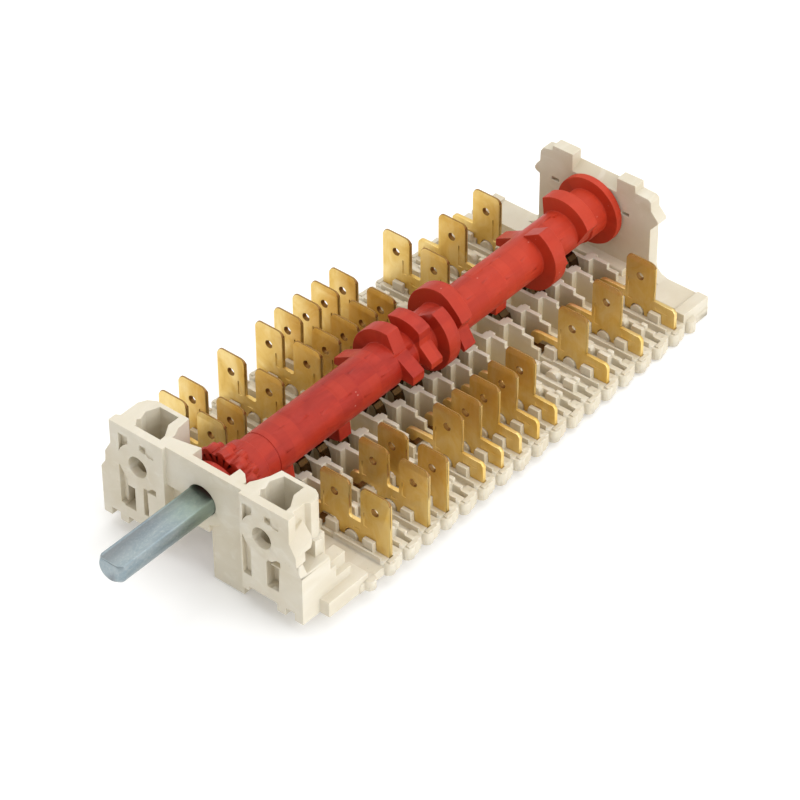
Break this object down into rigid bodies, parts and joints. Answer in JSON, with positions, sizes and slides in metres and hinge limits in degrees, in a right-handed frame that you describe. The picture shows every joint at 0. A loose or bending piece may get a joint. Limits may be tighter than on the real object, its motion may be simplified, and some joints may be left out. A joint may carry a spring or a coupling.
{
  "type": "rotary oven selector switch",
  "caption": "Long open rotary selector switch for an oven: ivory housing, red cam drum, flatted steel shaft and rows of brass push-on terminals.",
  "frame": {"origin": "shaft axis at the front mounting face", "axes": "-Y along the shaft toward the knob, +Z toward the terminal tabs, +X to the right row of terminals"},
  "size_m": [0.0524, 0.1315, 0.0262],
  "materials": {
    "ivory_housing": "matte moulded thermoset",
    "red_drum": "satin moulded",
    "zinc_steel": "zinc-plated, slightly blue",
    "brass_terminal": "stamped, rolled surface",
    "contact_strip": "rolled contact alloy",
    "bearing_steel": "polished",
    "spring_steel": "drawn wire"
  },
  "bodies": {
    "housing": {"body": "ivory_housing", "terminal_left_00": "brass_terminal", "terminal_left_01": "brass_terminal", "terminal_left_03": "brass_terminal", "terminal_left_05": "brass_terminal", "terminal_left_06": "brass_terminal", "terminal_left_07": "brass_terminal", "terminal_left_08": "brass_terminal", "terminal_left_09": "brass_terminal", "terminal_left_12": "brass_terminal", "terminal_left_14": "brass_terminal", "terminal_left_16": "brass_terminal", "terminal_right_00": "brass_terminal", "terminal_right_02": "brass_terminal", "terminal_right_03": "brass_terminal", "terminal_right_05": "brass_terminal", "terminal_right_06": "brass_terminal", "terminal_right_07": "brass_terminal", "terminal_right_08": "brass_terminal", "terminal_right_09": "brass_terminal", "terminal_right_12": "brass_terminal", "terminal_right_14": "brass_terminal", "terminal_right_16": "brass_terminal", "contact_leaf_00": "contact_strip", "contact_leaf_01": "contact_strip", "contact_leaf_02": "contact_strip", "contact_leaf_03": "contact_strip", "contact_leaf_05": "contact_strip", "contact_leaf_06": "contact_strip", "contact_leaf_07": "contact_strip", "contact_leaf_08": "contact_strip", "contact_leaf_09": "contact_strip", "contact_leaf_12": "contact_strip", "contact_leaf_14": "contact_strip", "contact_leaf_16": "contact_strip", "index_spring": "spring_steel"},
    "drum": {"cam_drum": "red_drum", "drive_shaft": "zinc_steel"},
    "ball": {"index_ball": "bearing_steel"}
  },
  "joints": [
    {"name": "selector_turn", "type": "hinge", "parent": "housing", "child": "drum", "pos_m": [0, 0, 0], "axis": [0, 1, 0], "continuous": true, "deforming": ["contact_leaf_00", "contact_leaf_01", "contact_leaf_02", "contact_leaf_03", "contact_leaf_05", "contact_leaf_06", "contact_leaf_07", "contact_leaf_08", "contact_leaf_09", "contact_leaf_12", "contact_leaf_14", "contact_leaf_16"]},
    {"name": "index_ball_slide", "type": "slide", "parent": "housing", "child": "ball", "axis": [0, 0, 1], "range_m": [-0.0012, 0], "stiffness_N_per_m": 600, "springref_m": 0.002, "deforming": ["index_spring"]}
  ]
}
